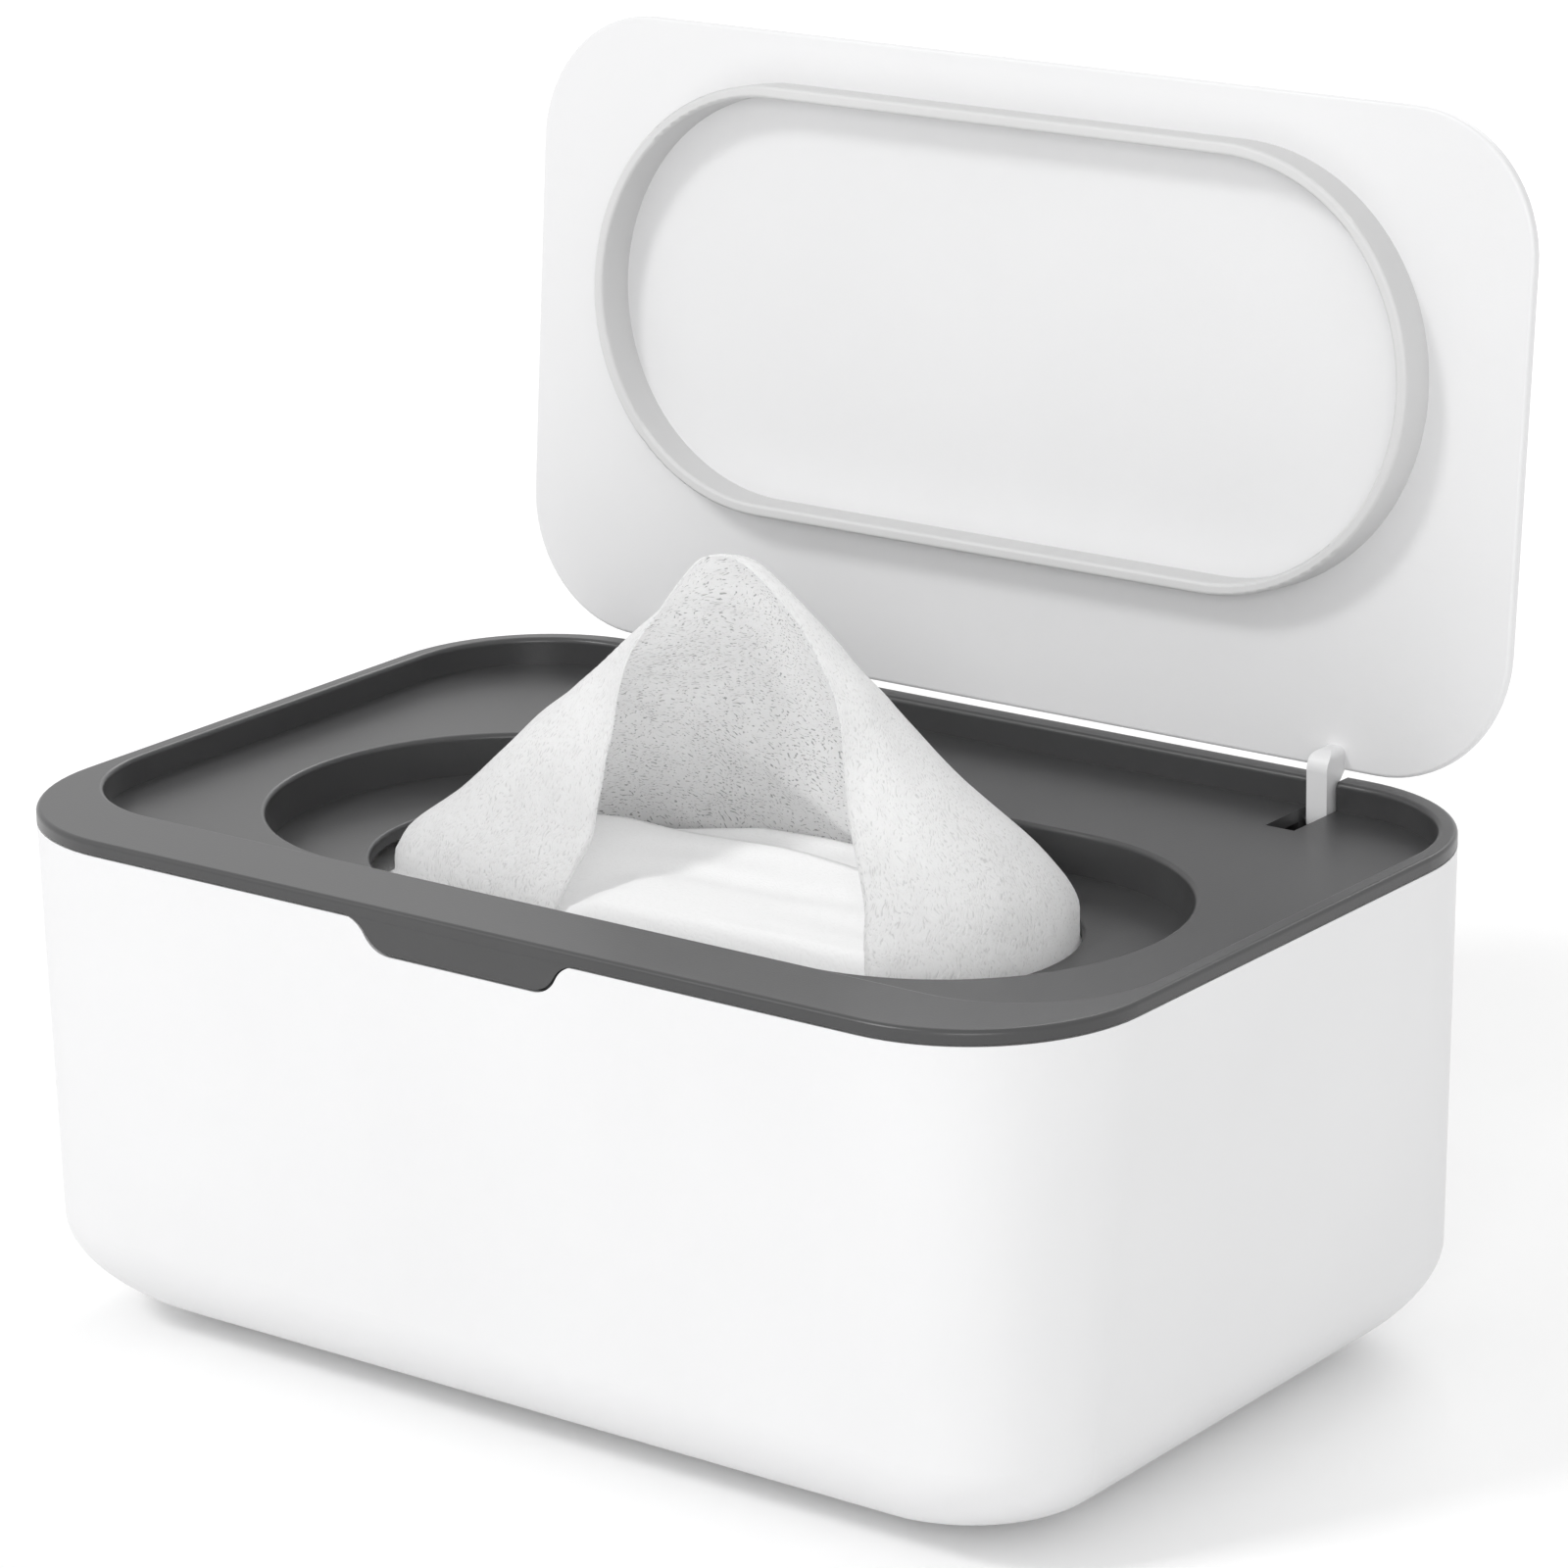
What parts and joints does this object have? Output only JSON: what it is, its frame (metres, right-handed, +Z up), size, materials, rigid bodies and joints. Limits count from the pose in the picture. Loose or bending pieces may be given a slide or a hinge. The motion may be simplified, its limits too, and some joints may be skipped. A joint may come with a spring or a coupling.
{
  "type": "wipes dispenser",
  "caption": "Free-standing box for moist wipes with a lift-off grey top frame, a flip lid with a sealing ring and a wipe pulled up through the opening.",
  "frame": {"origin": "centre of the box's flat floor, where it rests on the table", "axes": "+X along the long side to the right, +Y from the grip tab to the hinge, +Z up"},
  "size_m": [0.2, 0.1453, 0.1886],
  "materials": {
    "white_plastic": "satin",
    "grey_plastic": "satin",
    "white_silicone": "matte",
    "foot_silicone": "matte",
    "pin_steel": "satin",
    "nonwoven": "matte"
  },
  "bodies": {
    "base": {"base_box": "white_plastic", "foot_pad_front_left": "foot_silicone", "foot_pad_front_right": "foot_silicone", "foot_pad_back_left": "foot_silicone", "foot_pad_back_right": "foot_silicone", "wipe_stack": "nonwoven", "next_wipe": "nonwoven", "pulled_wipe": "nonwoven"},
    "frame": {"top_frame": "grey_plastic", "hinge_pin_left": "pin_steel", "hinge_pin_right": "pin_steel"},
    "lid": {"lid": "white_plastic", "lid_seal": "white_silicone"}
  },
  "joints": [
    {"name": "frame_lift", "type": "slide", "parent": "base", "child": "frame", "axis": [0, 0, 1], "range_m": [0, 0.12]},
    {"name": "lid_hinge", "type": "hinge", "parent": "frame", "child": "lid", "pos_m": [0, 0.06327, 0.0775], "axis": [1, 0, 0], "range_deg": [0, 95.2], "deforming": ["pulled_wipe"]}
  ]
}
